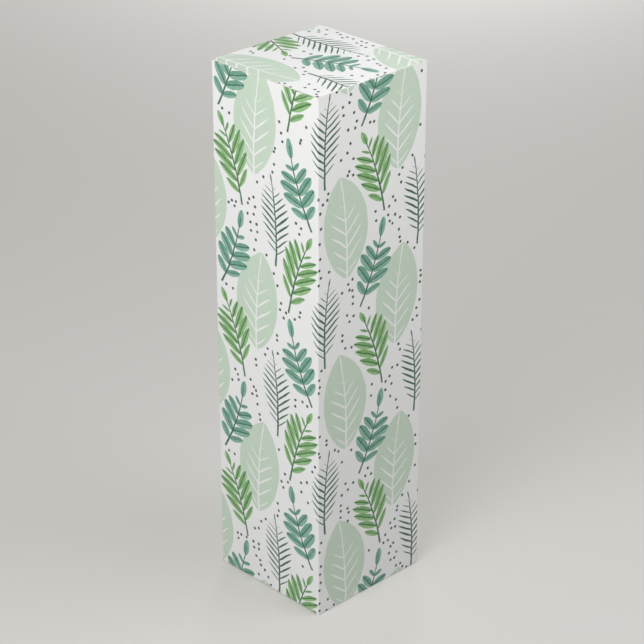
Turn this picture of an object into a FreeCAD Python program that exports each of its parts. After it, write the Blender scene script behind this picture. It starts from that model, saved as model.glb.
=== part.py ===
"""Folding carton for one 750 ml wine bottle: a tuck lid on top, a snap-lock base, and one glued side seam.

Millimetres. +Z is up, and the origin is the middle of the base. The front, where the lid tucks in, faces -Y.
Every piece is a stretch of one paperboard sheet, or one of the creases between two stretches.
"""
import FreeCAD, Part
import os
import re
import Sketcher

# Driving dimensions of the carton, in millimetres, angles in degrees
SIZES = {
    # the erected box, measured outside
    "outer_width": 88.9,
    "outer_depth": 88.9,
    "outer_height": 342.9,
    # the sheet: its caliper, the inside radius of a fixed fold, and how far a crease's bead swells past the board
    "board": 0.6,
    "fold_inner_radius": 0.3,
    "bead_height": 0.15,
    # a crease that keeps working: the board that it holds, and the running gap round its bead
    "crease_foot": 0.5,
    "fold_gap": 0.05,
    # the lid over the side panels and over the dust flaps, and its tuck flap behind the front panel
    "lid_side_gap": 0.5,
    "lid_gap": 0.1,
    "tuck_gap": 0.35,
    "tuck_side_gap": 1.0,
    "tuck_depth": 18.0,
    "tuck_corner_radius": 10.0,
    "tuck_lean_angle": 6.0,
    # the dust flaps under the lid
    "dust_meeting_gap": 10.0,
    "dust_front_gap": 5.0,
    "dust_front_taper": 3.0,
    "dust_back_gap": 5.0,
    "dust_back_slope_share": 0.7,
    "dust_corner_radius": 4.0,
    # the glued seam at the back right corner
    "seam_setback": 0.5,
    "glue_flap_width": 15.0,
    "glue_flap_bevel": 9.0,
    "glue_end_gap": 2.0,
    "glue_film": 0.1,
    "glue_margin": 2.0,
    # the snap-lock base: where the tongue bends up, as a share of the depth, and the cuts round it
    "lock_line_share": 0.46,
    "tongue_width": 30.0,
    "tongue_ramp": 8.0,
    "tongue_reach": 14.0,
    "tongue_corner_radius": 6.0,
    "tongue_shoulder": 9.0,
    "tongue_flap_taper": 4.0,
    "tongue_side_share": 0.6,
    "slot_gap": 0.8,
    "leg_length": 22.0,
    "leg_taper": 6.0,
    "leg_corner_radius": 5.0,
    "flap_side_gap": 0.6,
    "flap_meeting_gap": 2.0,
    "side_flap_taper": 3.0,
}

# Sizes and places that follow from the driving dimensions
DERIVED = {
    "half_width": "outer_width / 2",
    "half_depth": "outer_depth / 2",
    "fold_radius": "fold_inner_radius + board",
    "bead_radius": "board / 2 + bead_height",
    "bead_bore": "bead_radius + fold_gap",
    "flat_width": "outer_width - 2 * fold_radius",
    "flat_depth": "outer_depth - 2 * fold_radius",
    # levels of the four layers of the base, lowest first
    "side_level": "board",
    "slotted_level": "2 * board",
    "tongue_level": "3 * board",
    # the lid's axis, the tuck flap's axis and the dust flaps' axes
    "lid_axis_y": "half_depth - bead_radius",
    "lid_axis_z": "outer_height - bead_radius",
    "tuck_axis_y": "board + tuck_gap + bead_radius - half_depth",
    "lid_reach": "lid_axis_y - tuck_axis_y",
    "dust_top": "outer_height - board - lid_gap",
    "dust_axis_x": "half_width - bead_radius",
    "dust_axis_z": "dust_top - bead_radius",
    "dust_length": "dust_axis_x - dust_meeting_gap / 2",
    # the upper edges of the back panel and of the side panels, below their creases
    "back_top": "lid_axis_z - crease_foot",
    "side_top": "dust_axis_z - crease_foot",
    # the seam: outer face of the glue flap, and the back panel between its two standing folds
    "seam_x": "half_width - board - glue_film",
    "back_left": "fold_radius - half_width",
    "back_right": "seam_x - fold_radius",
    "back_width": "back_right - back_left",
    "back_middle": "(back_left + back_right) / 2",
    "glue_root": "half_depth - fold_radius",
    "glue_edge": "glue_root - glue_flap_width",
    "glue_bottom": "tongue_level + glue_end_gap",
    "glue_top": "side_top - glue_end_gap",
    # the base lock: the line where the tongue bends up, the bottom of the notch and the ends of its legs
    "flap_root": "half_depth - fold_radius",
    "lock_line": "lock_line_share * outer_depth - half_depth",
    "notch_line": "lock_line + tongue_ramp + slot_gap",
    "tongue_tip": "lock_line + tongue_ramp + tongue_reach",
    "leg_end": "notch_line - leg_length",
    "notch_half": "tongue_width / 2 + slot_gap",
    "tongue_flap_half": "half_width - fold_radius - flap_side_gap",
    "slotted_flap_half": "back_right - flap_side_gap",
    "side_flap_end": "flap_root - flap_side_gap",
}

QUARTER_TURN_ANGLE = 90
PARALLEL_SHARE = 1e-6
# the numbers of the points of a line or a circle in a sketch
START_POINT, END_POINT, CENTRE_POINT = range(1, 4)

LEFT, RIGHT = FreeCAD.Vector(-1, 0, 0), FreeCAD.Vector(1, 0, 0)
FRONT, BACK = FreeCAD.Vector(0, -1, 0), FreeCAD.Vector(0, 1, 0)
DOWN, UP = FreeCAD.Vector(0, 0, -1), FreeCAD.Vector(0, 0, 1)

doc = FreeCAD.newDocument("wine_box")
sheet = doc.addObject("Spreadsheet::Sheet", "Sizes")
for row, (alias, size) in enumerate(SIZES.items(), start=1):
    sheet.set(f"A{row}", alias)
    sheet.set(f"B{row}", str(size))
    sheet.setAlias(f"B{row}", alias)
doc.recompute()


def formula(text):
    """An expression on the sheet's cells, with every derived name opened out."""
    def open_out(match):
        word = match.group()
        if word in DERIVED:
            return f"({formula(DERIVED[word])})"
        return f"Sizes.{word}" if word in SIZES else word
    return re.sub(r"[a-z_]+", open_out, text)


def number(text):
    """The present value of an expression."""
    return float(sheet.evalExpression(formula(text)))


def new_body(label, place, turn=FreeCAD.Rotation()):
    """An empty sub-part, turned once and placed by three expressions."""
    body = doc.addObject("PartDesign::Body", label)
    body.Label = label
    body.Placement = FreeCAD.Placement(FreeCAD.Vector(), turn)
    for axis, text in zip("xyz", place):
        body.setExpression(f"Placement.Base.{axis}", formula(text))
    return body


def new_sketch(body, name, plane, offset="0"):
    """An empty sketch on an origin plane of the body, or at an offset along that plane's normal."""
    sketch = body.newObject("Sketcher::SketchObject", name)
    support = next(item for item in body.Origin.OriginFeatures if item.Role == f"{plane}_Plane")
    sketch.AttachmentSupport = [(support, "")]
    sketch.MapMode = "FlatFace"
    sketch.setExpression("AttachmentOffset.Base.z", formula(offset))
    return sketch


def outline(body, name, plane, corners, offset="0"):
    """A closed outline of straight cuts. Each corner is a pair of expressions."""
    sketch = new_sketch(body, name, plane, offset)
    points = [FreeCAD.Vector(number(across), number(along), 0) for across, along in corners]
    count = len(points)
    for i, point in enumerate(points):
        sketch.addGeometry(Part.LineSegment(point, points[(i + 1) % count]))
    for i in range(count):
        sketch.addConstraint(Sketcher.Constraint("Coincident", i, END_POINT, (i + 1) % count, START_POINT))
        for axis, text in zip("XY", corners[i]):
            place = sketch.addConstraint(Sketcher.Constraint(f"Distance{axis}", i, START_POINT, number(text)))
            sketch.setExpression(f"Constraints[{place}]", formula(text))
    return sketch


def circle(body, name, plane, radius):
    """A circle round the body's own origin."""
    sketch = new_sketch(body, name, plane)
    edge = sketch.addGeometry(Part.Circle(FreeCAD.Vector(), UP, number(radius)))
    for axis in "XY":
        sketch.addConstraint(Sketcher.Constraint(f"Distance{axis}", edge, CENTRE_POINT, 0))
    size = sketch.addConstraint(Sketcher.Constraint("Radius", edge, number(radius)))
    sketch.setExpression(f"Constraints[{size}]", formula(radius))
    return sketch


def pad(body, profile, length, side="One side"):
    """The profile made solid, along its normal or evenly to both sides of its plane."""
    solid = body.newObject("PartDesign::Pad", f"{profile.Name}_solid")
    solid.Profile = profile
    solid.SideType = side
    solid.setExpression("Length", formula(length))
    return solid


def round_corners(body, solid, normal, radius, keep):
    """Rounds the sheet's cut corners, the short edges along its normal, at the places that keep() picks."""
    doc.recompute()
    picked = []
    for index, edge in enumerate(solid.Shape.Edges, start=1):
        along = edge.Vertexes[-1].Point - edge.Vertexes[0].Point
        if along.cross(normal).Length < along.Length * PARALLEL_SHARE and keep(edge.CenterOfMass):
            picked.append(f"Edge{index}")
    fillet = body.newObject("PartDesign::Fillet", "Round_corners")
    fillet.Base = (solid, picked)
    fillet.setExpression("Radius", formula(radius))
    return fillet


def panel(label, plane, corners, place, thickness="board"):
    """A flat stretch of the sheet between fixed folds."""
    body = new_body(label, place)
    return body, pad(body, outline(body, "Outline", plane, corners), thickness)


def fold(label, length, middle, first, second):
    """A fixed right-angled fold. Its two legs leave square to the outward directions first and second."""
    turn = FreeCAD.Rotation(first, second, first.cross(second), "XYZ")
    body = new_body(label, middle, turn)
    half = f"({length}) / 2"
    section = outline(body, "Section", "XZ", [
        ("fold_inner_radius", f"-{half}"),
        ("fold_radius", f"-{half}"),
        ("fold_radius", half),
        ("fold_inner_radius", half),
    ])
    bend = body.newObject("PartDesign::Revolution", "Bend")
    bend.Profile = section
    bend.ReferenceAxis = (section, ["V_Axis"])
    bend.Angle = QUARTER_TURN_ANGLE
    return body


def crease(label, length, axis, outward, inward):
    """A crease that keeps working: a swollen bead on the fold's axis, and the strip of board that holds it.

    outward is the side of the printed face, and inward points from the bead to the panel that it belongs to.
    """
    turn = FreeCAD.Rotation(inward.cross(outward), outward, -inward, "XYZ")
    body = new_body(label, axis, turn)
    pad(body, circle(body, "Bead", "YZ", "bead_radius"), length, "Symmetric")
    strip = outline(body, "Strip", "YZ", [
        ("bead_radius - board", "0"),
        ("bead_radius - board", "-crease_foot"),
        ("bead_radius", "-crease_foot"),
        ("bead_radius", "0"),
    ])
    pad(body, strip, length, "Symmetric")
    return body


def flap(label, plane, corners, hinge_plane, axis, turn=FreeCAD.Rotation()):
    """A hinged stretch of the sheet. Its hinge axis is its own origin, and its hinged end is hollowed for the bead."""
    body = new_body(label, axis, turn)
    solid = pad(body, outline(body, "Outline", plane, corners, "bead_radius - board"), "board")
    doc.recompute()
    whole = solid.Shape.Volume
    hollow = body.newObject("PartDesign::Pocket", "Hollow")
    hollow.Profile = circle(body, "Bore", hinge_plane, "bead_bore")
    hollow.SideType = "Symmetric"
    hollow.Type = "ThroughAll"
    doc.recompute()
    if not hollow.Shape.Volume < whole:
        raise RuntimeError(f"{label}: the hinged end was not hollowed")
    return body, hollow


def rectangle(low_across, low_along, high_across, high_along):
    """The four corners of an upright rectangle."""
    return [
        (low_across, low_along),
        (high_across, low_along),
        (high_across, high_along),
        (low_across, high_along),
    ]


# The four walls. Front and back stand on XZ, the sides on YZ.
panel("front_panel", "XZ", rectangle("fold_radius - half_width", "fold_radius",
                                     "half_width - fold_radius", "outer_height"),
      ("0", "board - half_depth", "0"))
panel("back_panel", "XZ", rectangle("back_left", "slotted_level + fold_radius", "back_right", "back_top"),
      ("0", "half_depth", "0"))
panel("left_panel", "YZ", rectangle("fold_radius - half_depth", "side_level + fold_radius",
                                    "half_depth - fold_radius", "side_top"),
      ("-half_width", "0", "0"))
panel("right_panel", "YZ", rectangle("fold_radius - half_depth", "side_level + fold_radius",
                                     "half_depth - seam_setback", "side_top"),
      ("half_width - board", "0", "0"))

# The standing folds, down to the surface that the box stands on
fold("front_left_fold", "dust_top", ("fold_radius - half_width", "fold_radius - half_depth", "dust_top / 2"),
     LEFT, FRONT)
fold("front_right_fold", "dust_top", ("half_width - fold_radius", "fold_radius - half_depth", "dust_top / 2"),
     FRONT, RIGHT)
fold("back_left_fold", "back_top", ("back_left", "half_depth - fold_radius", "back_top / 2"), BACK, LEFT)
fold("seam_fold", "back_top", ("back_right", "half_depth - fold_radius", "back_top / 2"), RIGHT, BACK)

# The seam: the glue flap lies inside the right panel, with bevelled ends, on a film of adhesive
panel("glue_flap", "YZ", [
    ("glue_root", "glue_bottom"),
    ("glue_root", "glue_top"),
    ("glue_edge", "glue_top - glue_flap_bevel"),
    ("glue_edge", "glue_bottom + glue_flap_bevel"),
], ("seam_x - board", "0", "0"))
panel("seam_glue", "YZ", rectangle("glue_edge + glue_margin", "glue_bottom + glue_flap_bevel",
                                   "glue_root - glue_margin", "glue_top - glue_flap_bevel"),
      ("seam_x", "0", "0"), "glue_film")

# The lid, hinged on the back panel, and square at its front corners beside the tuck crease
crease("lid_crease", "back_width", ("back_middle", "lid_axis_y", "lid_axis_z"), BACK, DOWN)
lid_half = "(half_width - lid_side_gap)"
tuck_half = "(half_width - board - tuck_side_gap)"
flap("lid_panel", "XY", [
    (f"-{lid_half}", "0"),
    (f"-{lid_half}", "-lid_reach - bead_radius"),
    (f"-{tuck_half}", "-lid_reach - bead_radius"),
    (f"-{tuck_half}", "crease_foot - lid_reach"),
    (tuck_half, "crease_foot - lid_reach"),
    (tuck_half, "-lid_reach - bead_radius"),
    (lid_half, "-lid_reach - bead_radius"),
    (lid_half, "0"),
], "YZ", ("0", "lid_axis_y", "lid_axis_z"))

# The tuck flap, folded a little past square so that it swings clear of the front panel, with round corners
crease("tuck_crease", f"2 * {tuck_half}", ("0", "tuck_axis_y", "lid_axis_z"), UP, BACK)
tuck_tip = "(bead_radius - tuck_depth)"
tuck, tuck_sheet = flap("tuck_flap", "XZ", rectangle(f"-{tuck_half}", tuck_tip, tuck_half, "0"), "YZ",
                        ("0", "tuck_axis_y", "lid_axis_z"), FreeCAD.Rotation(RIGHT, number("tuck_lean_angle")))
round_corners(tuck, tuck_sheet, BACK, "tuck_corner_radius", lambda place: place.z < number(tuck_tip) / 2)
tuck.setExpression("Placement.Rotation.Angle", formula("tuck_lean_angle * 1 deg"))

# The dust flaps, on the side panels, with the back edge cut at a slant so that the lid clears it as both rise
for name, side, outward in (("left", "-1", LEFT), ("right", "1", RIGHT)):
    axis = (f"{side} * dust_axis_x", "0", "dust_axis_z")
    crease(f"{name}_dust_crease", "flat_depth", axis, outward, DOWN)
    inner_end = f"-({side}) * dust_length"
    dust, dust_sheet = flap(f"{name}_dust_flap", "XY", [
        ("0", "dust_front_gap - half_depth"),
        (inner_end, "dust_front_gap + dust_front_taper - half_depth"),
        (inner_end, "half_depth - dust_back_gap - dust_back_slope_share * dust_length"),
        ("0", "half_depth - dust_back_gap"),
    ], "XZ", axis)
    round_corners(dust, dust_sheet, UP, "dust_corner_radius",
                  lambda place: abs(place.x) > number("dust_length") / 2)

# The folds along the base. Each flap's fold lies one board higher than that of the flap below it.
fold("front_bottom_fold", "flat_width", ("0", "fold_radius - half_depth", "fold_radius"), FRONT, DOWN)
fold("left_bottom_fold", "flat_depth", ("fold_radius - half_width", "0", "side_level + fold_radius"), LEFT, DOWN)
fold("right_bottom_fold", "flat_depth", ("half_width - fold_radius", "0", "side_level + fold_radius"), RIGHT, DOWN)
fold("back_bottom_fold", "back_width", ("back_middle", "half_depth - fold_radius", "slotted_level + fold_radius"),
     BACK, DOWN)

# The outer flap of the base, whose sides draw in to the root of the tongue
tongue_root_half = "(tongue_width / 2 + tongue_shoulder)"
tongue_side_end = "(tongue_side_share * (lock_line + flap_root) - flap_root)"
panel("tongue_flap", "XY", [
    ("-tongue_flap_half", "-flap_root"),
    ("tongue_flap_half", "-flap_root"),
    ("tongue_flap_half - tongue_flap_taper", tongue_side_end),
    (tongue_root_half, "lock_line"),
    (f"-{tongue_root_half}", "lock_line"),
    ("tongue_flap_taper - tongue_flap_half", tongue_side_end),
], ("0", "0", "0"))

# The tongue: up through the notch, then flat on the slotted flap
tongue = new_body("lock_tongue", ("0", "0", "0"))
tongue_section = outline(tongue, "Section", "YZ", [
    ("lock_line", "0"),
    ("lock_line + tongue_ramp", "tongue_level"),
    ("tongue_tip", "tongue_level"),
    ("tongue_tip", "tongue_level + board"),
    ("lock_line + tongue_ramp", "tongue_level + board"),
    ("lock_line", "board"),
])
tongue_sheet = pad(tongue, tongue_section, "tongue_width", "Symmetric")
round_corners(tongue, tongue_sheet, UP, "tongue_corner_radius",
              lambda place: place.y > number("tongue_tip - slot_gap"))

# The side flaps: cut at 45 degrees behind, and stepped round the tongue
for name, side in (("left", "-"), ("right", "")):
    hinge_line = "(half_width - fold_radius)"
    panel(f"{name}_bottom_flap", "XY", [
        (f"{side}{hinge_line}", "-side_flap_end"),
        (f"{side}(flap_meeting_gap / 2)", "side_flap_taper - side_flap_end"),
        (f"{side}(flap_meeting_gap / 2)", "lock_line - slot_gap"),
        (f"{side}notch_half", "lock_line - slot_gap"),
        (f"{side}notch_half", f"side_flap_end - ({hinge_line} - notch_half)"),
        (f"{side}{hinge_line}", "side_flap_end"),
    ], ("0", "0", "side_level"))

# The inner flap of the base: two round-ended legs beside the notch that takes the tongue
slotted, slotted_sheet = panel("slotted_flap", "XY", [
    ("slotted_flap_half", "flap_root"),
    ("-slotted_flap_half", "flap_root"),
    ("leg_taper - slotted_flap_half", "leg_end"),
    ("-notch_half", "leg_end"),
    ("-notch_half", "notch_line"),
    ("notch_half", "notch_line"),
    ("notch_half", "leg_end"),
    ("slotted_flap_half - leg_taper", "leg_end"),
], ("0", "0", "slotted_level"))
round_corners(slotted, slotted_sheet, UP, "leg_corner_radius",
              lambda place: place.y < number("leg_end + slot_gap"))

doc.recompute()
for item in doc.Objects:
    if "Invalid" in item.State or "Error" in item.State:
        raise RuntimeError(f"{item.Label}: {item.State}")
bodies = [item for item in doc.Objects if item.isDerivedFrom("PartDesign::Body")]
for body in bodies:
    if body.Shape.isNull() or not body.Shape.isValid() or len(body.Shape.Solids) != 1:
        raise RuntimeError(f"{body.Label}: the shape is not one valid solid")
os.makedirs("parts", exist_ok=True)
for body in bodies:
    body.Shape.exportStep(f"parts/{body.Label}.step")
    box = body.Shape.BoundBox
    print(f"{body.Label:20s} {body.Shape.Volume:9.2f} mm3  x {box.XMin:8.3f} {box.XMax:8.3f}"
          f"  y {box.YMin:8.3f} {box.YMax:8.3f}  z {box.ZMin:8.3f} {box.ZMax:8.3f}")
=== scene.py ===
import math

import bpy
from mathutils import Matrix, Vector


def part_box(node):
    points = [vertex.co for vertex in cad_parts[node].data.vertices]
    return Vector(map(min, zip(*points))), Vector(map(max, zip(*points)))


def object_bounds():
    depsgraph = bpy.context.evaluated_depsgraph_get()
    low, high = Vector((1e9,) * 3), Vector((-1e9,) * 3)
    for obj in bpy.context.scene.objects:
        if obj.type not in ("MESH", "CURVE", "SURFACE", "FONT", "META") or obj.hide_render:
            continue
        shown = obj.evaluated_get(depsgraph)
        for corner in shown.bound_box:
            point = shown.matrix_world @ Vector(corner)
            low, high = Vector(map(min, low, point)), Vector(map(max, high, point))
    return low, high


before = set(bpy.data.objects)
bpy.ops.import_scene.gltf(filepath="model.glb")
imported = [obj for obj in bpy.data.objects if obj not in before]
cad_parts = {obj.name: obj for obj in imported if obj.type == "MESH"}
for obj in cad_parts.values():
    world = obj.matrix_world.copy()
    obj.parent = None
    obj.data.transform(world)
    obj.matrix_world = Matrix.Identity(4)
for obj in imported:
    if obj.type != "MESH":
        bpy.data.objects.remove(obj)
cad_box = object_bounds()

# The sheet. A folding carton is cut from one flat sheet of solid bleached paperboard, white all
# through, and creased where it will bend. Sizes are in millimetres on the flat sheet: across runs
# round the four walls, and up runs up a wall and on over the lid.
MM = 0.001
width, depth, height = (cad_box[1] - cad_box[0]) / MM
around = 2 * (width + depth)

# The print. A botanical repeat in greens is printed on the flat sheet before it is cut. Sprigs,
# fronds and broad leaves stand in a half-drop repeat, with each second column mirrored. The repeat
# closes on itself round the four walls, so that no join shows at the seam.
COLUMNS_AROUND = 6
ROWS_UP = 3
column_pitch = around / COLUMNS_AROUND
row_pitch = height / ROWS_UP
MATH = "ShaderNodeMath"
MIX = "ShaderNodeMix"


def add(tree, kind, *feeds, named=None, **settings):
    """Adds a node. A feed is a socket, a node whose first output is taken, or a plain value."""
    node = tree.nodes.new(kind)
    for setting, value in settings.items():
        setattr(node, setting, value)
    for socket, feed in [*enumerate(feeds), *(named or {}).items()]:
        if isinstance(feed, bpy.types.Node):
            feed = feed.outputs[0]
        if isinstance(feed, bpy.types.NodeSocket):
            tree.links.new(feed, node.inputs[socket])
        else:
            node.inputs[socket].default_value = feed
    return node


def new_group(name, takes, gives):
    """An empty node group whose inputs and outputs are named, each with its kind of socket."""
    tree = bpy.data.node_groups.new(name, "ShaderNodeTree")
    for way, sockets in (("INPUT", takes), ("OUTPUT", gives)):
        for socket, kind in sockets.items():
            tree.interface.new_socket(socket, in_out=way, socket_type=f"NodeSocket{kind}")
    return tree


def bulge(tree, squared, power):
    """How full a drawn shape is, from its squared place along it: 1 midway and 0 at both ends."""
    fullness = add(tree, MATH, 1, squared, operation="SUBTRACT")
    fullness = add(tree, MATH, fullness, 0, operation="MAXIMUM")
    return add(tree, MATH, fullness, power, operation="POWER")


def sprig(name, column, row, shift, lean, length, stalk, pairs, spacing, leaf_angle, leaf_length,
          leaf_half, roundness, stagger, bow, spread, root=0):
    """Draws one kind of sprig, as distances in millimetres inside the edge of its ink.

    Leaf is the leaves, Line the stem and midribs, Outline the shape round the whole sprig, and
    Half the place across a leaf, which is above 0 on the lit side. column and row are pitches of
    the repeat, lean and leaf_angle are degrees, stagger is a share of spacing, and root is how
    far a leaf reaches past the stem.
    """
    tree = new_group(name, {"Sheet": "Vector"},
                     dict.fromkeys(("Leaf", "Line", "Outline", "Half"), "Float"))
    sheet = add(tree, "ShaderNodeSeparateXYZ", add(tree, "NodeGroupInput"))
    # the column of the repeat, which is mirrored and dropped by half a row if it is odd
    steps = add(tree, MATH, sheet.outputs["X"], 1 / column_pitch, -column,
                operation="MULTIPLY_ADD")
    whole = add(tree, MATH, steps, operation="ROUND")
    odd = add(tree, MATH, whole, 2, operation="FLOORED_MODULO")
    facing = add(tree, MATH, odd, -2 * column_pitch, column_pitch, operation="MULTIPLY_ADD")
    beside = add(tree, MATH, steps, whole, operation="SUBTRACT")
    beside = add(tree, MATH, beside, facing, -shift, operation="MULTIPLY_ADD")
    dropped = add(tree, MATH, odd, row_pitch / 2, sheet.outputs["Y"], operation="MULTIPLY_ADD")
    dropped = add(tree, MATH, dropped, row * row_pitch, operation="SUBTRACT")
    above = add(tree, MATH, dropped, row_pitch / 2, -row_pitch / 2, operation="WRAP")
    upright = add(tree, "ShaderNodeVectorRotate",
                  add(tree, "ShaderNodeCombineXYZ", beside, above),
                  named={"Angle": math.radians(lean)}, rotation_type="Z_AXIS")
    local = add(tree, "ShaderNodeSeparateXYZ", upright)
    # the stem is bowed, and everything else is measured from it
    level = add(tree, MATH, local.outputs["Y"], 2 / length, operation="MULTIPLY")
    level_squared = add(tree, MATH, level, level, operation="MULTIPLY")
    aside = add(tree, MATH, level_squared, bow, local.outputs["X"], operation="MULTIPLY_ADD")
    aside = add(tree, MATH, aside, bow, operation="SUBTRACT")
    off_stem = add(tree, MATH, aside, operation="ABSOLUTE")
    on_left = add(tree, MATH, aside, 0, operation="LESS_THAN")
    # the leaf that this place belongs to, counted up the stem, and the place along and across it
    climb = add(tree, MATH, local.outputs["Y"], length / 2 - stalk, operation="ADD")
    climb = add(tree, MATH, on_left, -stagger * spacing, climb, operation="MULTIPLY_ADD")
    slant = math.radians(leaf_angle)
    leaf_pitch = spacing * math.sin(slant)
    turned = add(tree, "ShaderNodeVectorRotate",
                 add(tree, "ShaderNodeCombineXYZ", off_stem, climb),
                 named={"Angle": slant}, rotation_type="Z_AXIS")
    turned = add(tree, "ShaderNodeSeparateXYZ", turned)
    rank = add(tree, MATH, turned.outputs["X"], -1 / leaf_pitch, operation="MULTIPLY")
    rank = add(tree, MATH, rank, operation="ROUND")
    across = add(tree, MATH, rank, leaf_pitch, turned.outputs["X"], operation="MULTIPLY_ADD")
    along = add(tree, MATH, rank, -spacing * math.cos(slant), turned.outputs["Y"],
                operation="MULTIPLY_ADD")
    # leaves are largest just below the middle of the stem
    FULLEST, SHRINK = 0.42, 0.62
    position = add(tree, MATH, rank, 2 / pairs, 1 / pairs - 2 * FULLEST, operation="MULTIPLY_ADD")
    position = add(tree, MATH, position, position, operation="MULTIPLY")
    size = add(tree, MATH, position, -SHRINK, 1, operation="MULTIPLY_ADD")
    # a leaf bulges between its ends, less a hair so that it ends clean
    HAIR = 0.15
    share = add(tree, MATH, along, size, operation="DIVIDE")
    share = add(tree, MATH, share, 2 / leaf_length, 2 * root / leaf_length - 1,
                operation="MULTIPLY_ADD")
    share = add(tree, MATH, share, share, operation="MULTIPLY")
    half_width = add(tree, MATH, bulge(tree, share, roundness), size, operation="MULTIPLY")
    half_width = add(tree, MATH, half_width, leaf_half, -HAIR, operation="MULTIPLY_ADD")
    off_rib = add(tree, MATH, across, operation="ABSOLUTE")
    side_leaf = add(tree, MATH, half_width, off_rib, operation="SUBTRACT")
    # there is none below the first pair or above the last
    past_first = add(tree, MATH, rank, 0.5, operation="ADD")
    before_last = add(tree, MATH, pairs - 0.5, rank, operation="SUBTRACT")
    side_leaf = add(tree, MATH, side_leaf, past_first, operation="MINIMUM")
    side_leaf = add(tree, MATH, side_leaf, before_last, operation="MINIMUM")
    # one more leaf, a little narrower, ends the stem
    END_LEAF_SHARE = 0.8
    stem_top = stalk + pairs * spacing - length / 2
    end_length = length / 2 - stem_top
    end_share = add(tree, MATH, local.outputs["Y"], 2 / end_length, -2 * stem_top / end_length - 1,
                    operation="MULTIPLY_ADD")
    end_share = add(tree, MATH, end_share, end_share, operation="MULTIPLY")
    end_leaf = add(tree, MATH, bulge(tree, end_share, roundness), leaf_half * END_LEAF_SHARE, -HAIR,
                   operation="MULTIPLY_ADD")
    end_leaf = add(tree, MATH, end_leaf, off_stem, operation="SUBTRACT")
    leaf = add(tree, MATH, side_leaf, end_leaf, operation="MAXIMUM")
    at_end = add(tree, MATH, end_leaf, side_leaf, operation="GREATER_THAN")
    NUMBER_A, NUMBER_B = 2, 3  # sockets of a Mix node
    half = add(tree, MIX, at_end, named={NUMBER_A: across, NUMBER_B: aside})
    # the stem thins out on its way up and into the end leaf, and each side leaf has its midrib
    STEM_HALF, STEM_TIP_HALF = 0.75, 0.3
    RIB_HALF, RIB_MARGIN = 0.42, 0.5
    RUN_ON = 0.6
    line_top = stem_top + RUN_ON * end_length
    line_middle = (line_top - length / 2) / 2
    stem = add(tree, MATH, local.outputs["Y"], line_middle, operation="SUBTRACT")
    stem = add(tree, MATH, stem, operation="ABSOLUTE")
    stem = add(tree, MATH, line_top - line_middle, stem, operation="SUBTRACT")
    stem_half = add(tree, MATH, level, (STEM_TIP_HALF - STEM_HALF) / 2,
                    (STEM_TIP_HALF + STEM_HALF) / 2, operation="MULTIPLY_ADD")
    stem_side = add(tree, MATH, stem_half, off_stem, operation="SUBTRACT")
    stem = add(tree, MATH, stem, stem_side, operation="MINIMUM")
    rib = add(tree, MATH, RIB_HALF, off_rib, operation="SUBTRACT")
    inner = add(tree, MATH, side_leaf, RIB_MARGIN, operation="SUBTRACT")
    rib = add(tree, MATH, rib, inner, operation="MINIMUM")
    line = add(tree, MATH, stem, rib, operation="MAXIMUM")
    # the outline round the whole sprig
    OUTLINE_ROUNDNESS = 0.75
    outline = add(tree, MATH, bulge(tree, level_squared, OUTLINE_ROUNDNESS), spread, -HAIR,
                  operation="MULTIPLY_ADD")
    outline = add(tree, MATH, outline, off_stem, operation="SUBTRACT")
    add(tree, "NodeGroupOutput", leaf, line, outline, half)
    return tree


round_leaf_sprig = sprig(
    "Round-leaf sprig", column=0, row=0, shift=0, lean=20, length=56, stalk=8, pairs=5,
    spacing=7.2, leaf_angle=56, leaf_length=16.5, leaf_half=3.4, roundness=0.5, stagger=0,
    bow=2.5, spread=15.5)
pointed_leaf_sprig = sprig(
    "Pointed-leaf sprig", column=1, row=0, shift=0, lean=20, length=58, stalk=7, pairs=6,
    spacing=6.8, leaf_angle=44, leaf_length=21, leaf_half=2.75, roundness=0.75, stagger=0.5,
    bow=-2.5, spread=15.5)
fern_frond = sprig(
    "Fern frond", column=0.5, row=0.25, shift=7, lean=-4, length=58, stalk=7, pairs=10,
    spacing=4.5, leaf_angle=53, leaf_length=17, leaf_half=0.85, roundness=0.5, stagger=0.5,
    bow=2, spread=14, root=2)
broad_leaf = sprig(
    "Broad leaf", column=0.5, row=0.75, shift=-6, lean=5, length=66, stalk=3, pairs=6,
    spacing=8.4, leaf_angle=48, leaf_length=21, leaf_half=0.8, roundness=0.5, stagger=0,
    bow=-2, spread=18, root=4)
MOTIFS = (round_leaf_sprig, pointed_leaf_sprig, fern_frond, broad_leaf)

# The board. Its outer face has a satin clay coat, which takes the ink; the inner face and the cut
# edges are bare fibre. Where the board is bent, the coat cracks and shows white, and that white is
# also a painted highlight along the bends.
PAPER_WHITE = "#F2F2F1"
SAGE = "#C9DBC7"
TEAL, TEAL_LIGHT, TEAL_DARK = "#68A089", "#80B29B", "#2F6652"
LEAF_GREEN, LEAF_GREEN_LIGHT, LEAF_GREEN_DARK = "#78AC66", "#90BE7E", "#33693A"
FERN_GREEN = "#2C5F3F"
DOT_GREEN = "#2B4636"
NOISE = "ShaderNodeTexNoise"
VECTOR = "ShaderNodeVectorMath"
COLOUR_A, COLOUR_B, COLOUR_OUT = 6, 7, 2  # sockets of a Mix node


def linear(colour):
    """An sRGB hex colour as linear red, green, blue and alpha."""
    shares = [int(colour[i:i + 2], 16) / 255 for i in (1, 3, 5)]
    return [s / 12.92 if s <= 0.04045 else ((s + 0.055) / 1.055) ** 2.4 for s in shares] + [1]


printed = new_group(
    "Print on coated board",
    {"Sheet": "Vector", "Face depth": "Float", "Ink ends": "Float", "Cracking and highlight": "Float"},
    {"Color": "Color", "Roughness": "Float", "Height": "Float"})
taken = add(printed, "NodeGroupInput")
sheet = taken.outputs["Sheet"]
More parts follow.
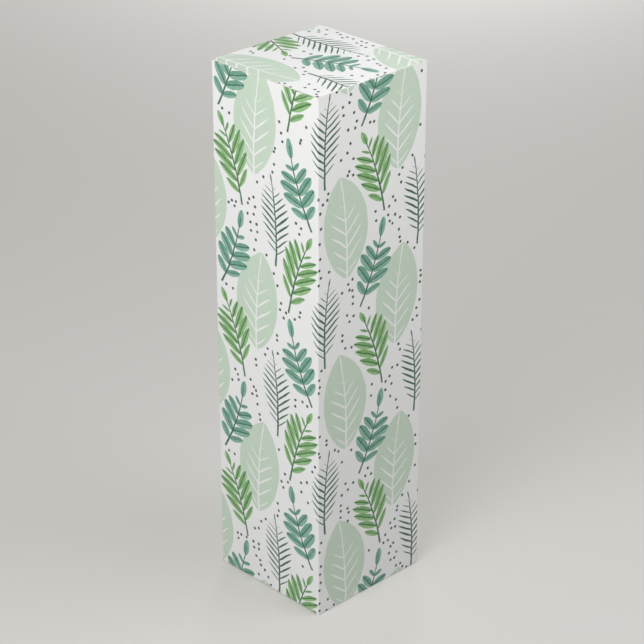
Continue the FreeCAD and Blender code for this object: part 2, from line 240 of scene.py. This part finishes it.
# a drawn line wavers by a fraction of a millimetre over about a centimetre
WAVER, WAVER_SIZE = 0.9, 9
NOISE_MIDDLE = (0.5, 0.5, 0.5)
waver = add(printed, NOISE, sheet, named={"Scale": 1 / WAVER_SIZE, "Detail": 1},
            noise_dimensions="2D")
waver = add(printed, VECTOR, waver.outputs["Color"], NOISE_MIDDLE, operation="SUBTRACT")
drawn = add(printed, VECTOR, waver, (WAVER, WAVER, 0), sheet, operation="MULTIPLY_ADD")
round_leaves, pointed_leaves, fern, broad = (
    add(printed, "ShaderNodeGroup", drawn, node_tree=motif).outputs for motif in MOTIFS)

# dots on the open ground, 2 mm across; one whose middle comes near a sprig is left out whole
EDGE = 0.09
DOT_PITCH, DOT_RADIUS, DOT_MARGIN, DOT_SCATTER = 5.5, 1.05, 1.2, 0.7
spots = add(printed, "ShaderNodeTexVoronoi", drawn,
            named={"Scale": 1 / DOT_PITCH, "Randomness": DOT_SCATTER}, voronoi_dimensions="2D")
radius = DOT_RADIUS
for motif in MOTIFS:
    near = add(printed, "ShaderNodeGroup", spots.outputs["Position"], node_tree=motif)
    clear = add(printed, MATH, near.outputs["Outline"], -DOT_MARGIN, operation="LESS_THAN")
    radius = add(printed, MATH, radius, clear, operation="MULTIPLY")
radius = add(printed, MATH, radius, EDGE, operation="SUBTRACT")
dots = add(printed, MATH, spots.outputs["Distance"], -DOT_PITCH, radius, operation="MULTIPLY_ADD")

# the inks, in the order in which they are laid down
broad_veins = add(printed, MATH, broad["Leaf"], broad["Line"], operation="MAXIMUM")
broad_veins = add(printed, MATH, broad_veins, broad["Outline"], operation="MINIMUM")
fern_strokes = add(printed, MATH, fern["Leaf"], fern["Line"], operation="MAXIMUM")
round_lit = add(printed, MATH, round_leaves["Leaf"], round_leaves["Half"], operation="MINIMUM")
pointed_lit = add(printed, MATH, pointed_leaves["Leaf"], pointed_leaves["Half"],
                  operation="MINIMUM")
colour = linear(PAPER_WHITE)
for distance, ink in (
    (broad["Outline"], SAGE),
    (broad_veins, PAPER_WHITE),
    (dots, DOT_GREEN),
    (fern_strokes, FERN_GREEN),
    (round_leaves["Leaf"], TEAL),
    (round_lit, TEAL_LIGHT),
    (round_leaves["Line"], TEAL_DARK),
    (pointed_leaves["Leaf"], LEAF_GREEN),
    (pointed_lit, LEAF_GREEN_LIGHT),
    (pointed_leaves["Line"], LEAF_GREEN_DARK),
):
    edge = add(printed, "ShaderNodeMapRange", distance, -EDGE, EDGE)
    colour = add(printed, MIX, edge, named={COLOUR_A: colour, COLOUR_B: linear(ink)},
                 data_type="RGBA").outputs[COLOUR_OUT]

# the ink lies a little unevenly, in clouds of a few millimetres
MOTTLE, MOTTLE_SIZE = 0.1, 3.5
MOTTLE_STARTS, MOTTLE_FULL = 0.35, 0.75
mottle = add(printed, NOISE, sheet, named={"Scale": 1 / MOTTLE_SIZE, "Detail": 3},
             noise_dimensions="2D")
mottle = add(printed, "ShaderNodeMapRange", mottle, MOTTLE_STARTS, MOTTLE_FULL, 0, MOTTLE)
colour = add(printed, MIX, mottle, named={COLOUR_A: colour, COLOUR_B: linear(PAPER_WHITE)},
             data_type="RGBA").outputs[COLOUR_OUT]
# it stops a little way past the walls and past the lid
BLEED = 6
apart = add(printed, "ShaderNodeSeparateXYZ", sheet)
inked = add(printed, MATH, taken.outputs["Ink ends"], apart.outputs["Y"], operation="SUBTRACT")
inked_below = add(printed, MATH, apart.outputs["Y"], BLEED, operation="ADD")
inked = add(printed, MATH, inked, inked_below, operation="MINIMUM")
printing = add(printed, "ShaderNodeMapRange", inked, -EDGE, EDGE)
# along a fold the coat cracks in short white flecks, drawn wider than the real hairlines to show;
# the flecks also lighten the fold as a painted highlight
FLECK_LENGTH, FLECK_WIDTH = 3.0, 0.8
FLECK_STARTS, FLECK_FULL = 0.52, 0.6
fleck_place = add(printed, VECTOR, sheet, (1 / FLECK_WIDTH, 1 / FLECK_LENGTH, 0),
                  operation="MULTIPLY")
cracks_and_highlight = add(printed, NOISE, fleck_place, named={"Scale": 1, "Detail": 2}, noise_dimensions="2D")
cracks_and_highlight = add(printed, "ShaderNodeMapRange", cracks_and_highlight, FLECK_STARTS, FLECK_FULL)
cracks_and_highlight = add(printed, MATH, cracks_and_highlight, taken.outputs["Cracking and highlight"], operation="MULTIPLY")
printing = add(printed, MATH, printing, cracks_and_highlight, operation="SUBTRACT", use_clamp=True)
colour = add(printed, MIX, printing, named={COLOUR_A: linear(PAPER_WHITE), COLOUR_B: colour},
             data_type="RGBA").outputs[COLOUR_OUT]

# bare fibre shows inside and on the cut edges; a real fibre is a few hundredths of a millimetre
# wide, so it is drawn coarser here to show
BARE_DULL, BARE_BRIGHT = "#DBD7CE", "#EDEAE4"
FIBRE_LENGTH, FIBRE_WIDTH = 4.0, 0.9
fibre_place = add(printed, VECTOR, sheet, (1 / FIBRE_WIDTH, 1 / FIBRE_LENGTH, 1 / FIBRE_WIDTH),
                  operation="MULTIPLY")
fibre = add(printed, NOISE, fibre_place, named={"Scale": 1, "Detail": 3})
bare = add(printed, MIX, fibre,
           named={COLOUR_A: linear(BARE_DULL), COLOUR_B: linear(BARE_BRIGHT)},
           data_type="RGBA").outputs[COLOUR_OUT]
outside = add(printed, MATH, apart.outputs["Z"], taken.outputs["Face depth"], operation="ADD")
outside = add(printed, MATH, outside, 0, operation="GREATER_THAN")
colour = add(printed, MIX, outside, named={COLOUR_A: bare, COLOUR_B: colour},
             data_type="RGBA").outputs[COLOUR_OUT]
# the coat has a satin gloss, uneven where fibre lies under it, and bare fibre is dull
COATED_ROUGHNESS, BARE_ROUGHNESS, ROUGHNESS_SPREAD = 0.5, 0.86, 0.08
roughness = add(printed, "ShaderNodeMapRange", outside, 0, 1, BARE_ROUGHNESS, COATED_ROUGHNESS)
uneven = add(printed, MATH, fibre, ROUGHNESS_SPREAD, -ROUGHNESS_SPREAD / 2,
             operation="MULTIPLY_ADD")
roughness = add(printed, MATH, roughness, uneven, operation="ADD")
# the board is never quite flat: a slow waviness of tenths of a millimetre, and the fibre's tooth
WAVE, WAVE_SIZE = 0.35, 60
TOOTH = 0.012
wave = add(printed, NOISE, sheet, named={"Scale": 1 / WAVE_SIZE, "Detail": 1},
           noise_dimensions="2D")
relief = add(printed, MATH, wave, WAVE, operation="MULTIPLY")
relief = add(printed, MATH, fibre, TOOTH, relief, operation="MULTIPLY_ADD")
add(printed, "NodeGroupOutput", colour, roughness, relief)

FACE_DEPTH = 0.05
INK_ENDS = height + depth + BLEED
COAT_IOR = 1.5


def board(name, outward, up, point, at, stretch=(1, 1), face_depth=FACE_DEPTH, ink_ends=INK_ENDS,
          cracking_and_highlight=0):
    """Satin clay-coated board: soft broad highlights over the print, and dull warm white if bare.

    outward and up say how this stretch of the sheet lies, and its point, in metres, is the place
    at on the flat sheet. A bend is stretched to its length there. What lies deeper than face_depth
    below the outer face is bare.
    """
    material = bpy.data.materials.new(name)
    material.use_nodes = True
    tree = material.node_tree
    across = up.cross(outward)
    scale = Vector((MM / stretch[0], MM / stretch[1], MM))
    origin = Vector(point) - across * at[0] * scale.x - up * at[1] * scale.y
    turn = Matrix((across, up, outward)).transposed().to_euler()
    place = add(tree, "ShaderNodeMapping", add(tree, "ShaderNodeTexCoord").outputs["Object"],
                origin, turn, scale, vector_type="TEXTURE")
    # the white flecks along a bend are cracks in the coat and also a painted highlight on it
    face = add(tree, "ShaderNodeGroup", place, face_depth, ink_ends, cracking_and_highlight,
               node_tree=printed).outputs
    bump = add(tree, "ShaderNodeBump", named={"Height": face["Height"], "Distance": MM})
    shader = tree.nodes["Principled BSDF"].inputs
    tree.links.new(face["Color"], shader["Base Color"])
    tree.links.new(face["Roughness"], shader["Roughness"])
    tree.links.new(bump.outputs[0], shader["Normal"])
    shader["IOR"].default_value = COAT_IOR
    return material


def dress(node, material):
    """Gives a CAD node its material."""
    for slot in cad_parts[node].material_slots:
        slot.material = material


# The walls. Four stretches of the sheet between the standing folds make a square tube. The front
# wall ends in a raw edge at the top, where the lid tucks in, and the right wall in one at the seam.
X, Y, Z = Matrix.Identity(3)
half_width, half_depth = width / 2, depth / 2
across_left = -half_width - half_depth
across_right = half_width + half_depth
across_back = -width - depth
walls = {
    "front": (-Y, (0, -half_depth, 0), 0),
    "left": (-X, (-half_width, 0, 0), across_left),
    "back": (Y, (0, half_depth, 0), across_back),
    "right": (X, (half_width, 0, 0), across_right),
}
for side, (outward, point, across) in walls.items():
    wall = board(f"printed_board_{side}_wall", outward, Z, Vector(point) * MM, (across, 0))
    dress(f"{side}_panel", wall)

# The standing folds. The sheet is creased on a press and bent round a quarter turn between two
# walls, with the print on the outside. The coat cracks a little along the bend, in white flecks
# that also stand as a painted highlight on the fold.
ROUND_BEND = math.sqrt(2)
FOLD_FACE_DEPTH = 0.8  # a round fold's outer face lies less than this inside the sharp corner
FOLD_CRACKS_AND_HIGHLIGHT = 0.18
standing_folds = {
    "front_left_fold": (-X - Y, (-half_width, -half_depth, 0), -half_width),
    "front_right_fold": (X - Y, (half_width, -half_depth, 0), half_width),
    "back_left_fold": (Y - X, (-half_width, half_depth, 0), -half_width - depth),
    "seam_fold": (X + Y, (half_width, half_depth, 0), -width - depth - half_width),
}
for node, (outward, point, across) in standing_folds.items():
    fold = board(f"printed_board_{node}", outward.normalized(), Z, Vector(point) * MM, (across, 0),
                 stretch=(ROUND_BEND, 1), face_depth=FOLD_FACE_DEPTH, cracking_and_highlight=FOLD_CRACKS_AND_HIGHLIGHT)
    dress(node, fold)

# The seam. A bevelled flap on the back wall is turned in behind the right wall and stuck down with
# a film of cold-set adhesive. The flap is left unprinted so that the glue holds.
NO_INK = -height  # the ink ends before the sheet begins
glue_flap = board("bare_board_glue_flap", X, Z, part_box("glue_flap")[1], (across_right, 0),
                  ink_ends=NO_INK)
dress("glue_flap", glue_flap)
# the adhesive dries to a yellowish film, glossier than the board and cloudy where it was daubed on
GLUE_PALE, GLUE_DEEP = "#E4DFCB", "#D6CFB4"
GLUE_ROUGHNESS = 0.35
DAUB_SIZE = 6
glue = bpy.data.materials.new("dried_seam_adhesive")
glue.use_nodes = True
glue_place = add(glue.node_tree, "ShaderNodeTexCoord").outputs["Object"]
daubs = add(glue.node_tree, NOISE, glue_place,
            named={"Scale": 1 / (DAUB_SIZE * MM), "Detail": 2})
glue_colour = add(glue.node_tree, MIX, daubs,
                  named={COLOUR_A: linear(GLUE_PALE), COLOUR_B: linear(GLUE_DEEP)},
                  data_type="RGBA").outputs[COLOUR_OUT]
glue_shader = glue.node_tree.nodes["Principled BSDF"].inputs
glue.node_tree.links.new(glue_colour, glue_shader["Base Color"])
glue_shader["Roughness"].default_value = GLUE_ROUGHNESS
dress("seam_glue", glue)

# The base. Four flaps fold in under the walls and lock: the front flap's tongue snaps through the
# notch of the back flap. The print bleeds a little way over their folds, and the rest of their
# outer face is plain coated white.
base_flaps = {
    "front": (-Y, (0, -half_depth), 0, "tongue_flap"),
    "left": (-X, (-half_width, 0), across_left, "left_bottom_flap"),
    "right": (X, (half_width, 0), across_right, "right_bottom_flap"),
    "back": (Y, (0, half_depth), across_back, "slotted_flap"),
}
for side, (outward, point, across, flap) in base_flaps.items():
    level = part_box(flap)[0].z
    corner = Vector((*point, 0)) * MM + Z * level
    at = (across, level / MM)
    fold = board(f"printed_board_{side}_bottom_fold", (outward - Z).normalized(),
                 (outward + Z).normalized(), corner, at, stretch=(1, ROUND_BEND),
                 face_depth=FOLD_FACE_DEPTH, cracking_and_highlight=FOLD_CRACKS_AND_HIGHLIGHT)
    dress(f"{side}_bottom_fold", fold)
    dress(flap, board(f"printed_board_{flap}", -Z, outward, corner, at))
tongue = board("bare_board_lock_tongue", -Z, -Y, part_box("lock_tongue")[0], (0, 0), ink_ends=NO_INK)
dress("lock_tongue", tongue)

# The dust flaps. One flap on each side wall folds in under the lid, to close the corners and steady
# the walls. It is printed over its crease and a little way on, and is then plain coated white.
CREASE_FACE_DEPTH = 0.7
DUST_INK_ENDS = height + BLEED
for side, outward, across in (("left", -X, across_left), ("right", X, across_right)):
    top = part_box(f"{side}_dust_crease")[1].z
    corner = outward * half_width * MM + Z * top
    at = (across, top / MM)
    crease = board(f"printed_board_{side}_dust_crease", (outward + Z).normalized(),
                   (Z - outward).normalized(), corner, at, stretch=(1, ROUND_BEND),
                   face_depth=CREASE_FACE_DEPTH, ink_ends=DUST_INK_ENDS, cracking_and_highlight=FOLD_CRACKS_AND_HIGHLIGHT)
    dress(f"{side}_dust_crease", crease)
    flap = board(f"printed_board_{side}_dust_flap", Z, -outward, corner, at,
                 ink_ends=DUST_INK_ENDS)
    dress(f"{side}_dust_flap", flap)

# The lid. It turns on a crease at the top of the back wall and carries that wall's print on over
# the top. The tuck flap on its front edge slides in behind the front wall; it is folded a little
# past square, and has round corners that find their way in.
corner = Y * half_depth * MM + Z * height * MM
lid_crease = board("printed_board_lid_crease", (Y + Z).normalized(), (Z - Y).normalized(), corner,
                   (across_back, height), stretch=(1, ROUND_BEND), face_depth=CREASE_FACE_DEPTH,
                   cracking_and_highlight=FOLD_CRACKS_AND_HIGHLIGHT)
dress("lid_crease", lid_crease)
dress("lid_panel", board("printed_board_lid", Z, -Y, corner, (across_back, height)))
front_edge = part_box("tuck_crease")[0].y
corner = Y * front_edge + Z * height * MM
at = (across_back, height + half_depth - front_edge / MM)
tuck_crease = board("printed_board_tuck_crease", (Z - Y).normalized(), (-Y - Z).normalized(),
                    corner, at, stretch=(1, ROUND_BEND), face_depth=CREASE_FACE_DEPTH,
                    cracking_and_highlight=FOLD_CRACKS_AND_HIGHLIGHT)
dress("tuck_crease", tuck_crease)
# the tuck flap leans, so its outer face is read from the flap
tuck_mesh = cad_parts["tuck_flap"].data
tuck_face = max(tuck_mesh.polygons, key=lambda face: face.area if face.normal.y < 0 else 0)
tuck_outward = tuck_face.normal.copy()
tuck_up = tuck_outward.cross(-X)
on_face = tuck_mesh.vertices[tuck_face.vertices[0]].co
corner += tuck_outward * (on_face - corner).dot(tuck_outward)
dress("tuck_flap", board("printed_board_tuck_flap", tuck_outward, tuck_up, corner, at))

# The studio. The box stands on a plain pale floor of matt paint, which glows a little where it is
# seen, so that it is pale without throwing more light on the box. Two softboxes light the left and
# the front, and a low one behind keeps the back walls clear.
FLOOR, FLOOR_GLOW = "#A7A7A6", "#EEE8DE"
FLOOR_ROUGHNESS = 0.9
GLOW_STRENGTH = 0.29
FLOOR_SIZE = 8
floor_mesh = bpy.data.meshes.new("floor")
floor_half = FLOOR_SIZE / 2
floor_mesh.from_pydata([(-floor_half, -floor_half, 0), (floor_half, -floor_half, 0),
                        (floor_half, floor_half, 0), (-floor_half, floor_half, 0)],
                       [], [(0, 1, 2, 3)])
floor = bpy.data.objects.new("floor", floor_mesh)
bpy.context.scene.collection.objects.link(floor)
floor_paint = bpy.data.materials.new("matt_floor")
floor_paint.use_nodes = True
paint_tree = floor_paint.node_tree
rays = add(paint_tree, "ShaderNodeLightPath").outputs
seen = add(paint_tree, MATH, rays["Is Camera Ray"], rays["Is Glossy Ray"], operation="MAXIMUM")
seen = add(paint_tree, MATH, seen, rays["Is Transmission Ray"], operation="MAXIMUM")
glow = add(paint_tree, MATH, seen, GLOW_STRENGTH, operation="MULTIPLY")
floor_shader = paint_tree.nodes["Principled BSDF"].inputs
floor_shader["Base Color"].default_value = linear(FLOOR)
floor_shader["Roughness"].default_value = FLOOR_ROUGHNESS
floor_shader["Emission Color"].default_value = linear(FLOOR_GLOW)
paint_tree.links.new(glow.outputs[0], floor_shader["Emission Strength"])
floor_mesh.materials.append(floor_paint)

SKY, SKY_STRENGTH = "#F4F4F6", 0.28
world = bpy.data.worlds.new("studio")
world.use_nodes = True
sky = world.node_tree.nodes["Background"].inputs
sky["Color"].default_value = linear(SKY)
sky["Strength"].default_value = SKY_STRENGTH
bpy.context.scene.world = world

# each softbox faces the middle of the box, from a distance in metres, and is out of sight itself
centre = Z * height / 2 * MM
for name, direction, distance, size, watts in (
    ("left_softbox", (-0.7, -0.2, 0.55), 0.91, 0.6, 6.5),
    ("front_softbox", (0.25, -0.4, 0.5), 0.64, 0.45, 1.95),
    ("low_back_softbox", (1, 0.9, 0.03), 2.0, 0.5, 20),
):
    lamp = bpy.data.lights.new(name, "AREA")
    lamp.size = size
    lamp.energy = watts
    softbox = bpy.data.objects.new(name, lamp)
    away = Vector(direction).normalized()
    softbox.location = centre + away * distance
    softbox.rotation_euler = away.to_track_quat("Z", "Y").to_euler()
    softbox.visible_camera = False
    bpy.context.scene.collection.objects.link(softbox)

# the camera stands where the photo was taken, with angles in degrees and distances in metres
AZIMUTH, ELEVATION = -44.2, 26.3
LENS, SENSOR = 125.5, 36
DISTANCE = 1.3781
AIM_RIGHT, AIM_UP = 0.0015, 0.00145
turn, tilt = math.radians(AZIMUTH), math.radians(ELEVATION)
back = Vector((math.sin(turn) * math.cos(tilt), -math.cos(turn) * math.cos(tilt), math.sin(tilt)))
right = Vector((math.cos(turn), math.sin(turn), 0))
camera = bpy.data.objects.new("camera", bpy.data.cameras.new("camera"))
camera.data.lens = LENS
camera.data.sensor_width = SENSOR
camera.location = centre + right * AIM_RIGHT + back.cross(right) * AIM_UP + back * DISTANCE
camera.rotation_euler = back.to_track_quat("Z", "Y").to_euler()
bpy.context.scene.collection.objects.link(camera)
bpy.context.scene.camera = camera
bpy.context.scene.view_settings.view_transform = "Standard"
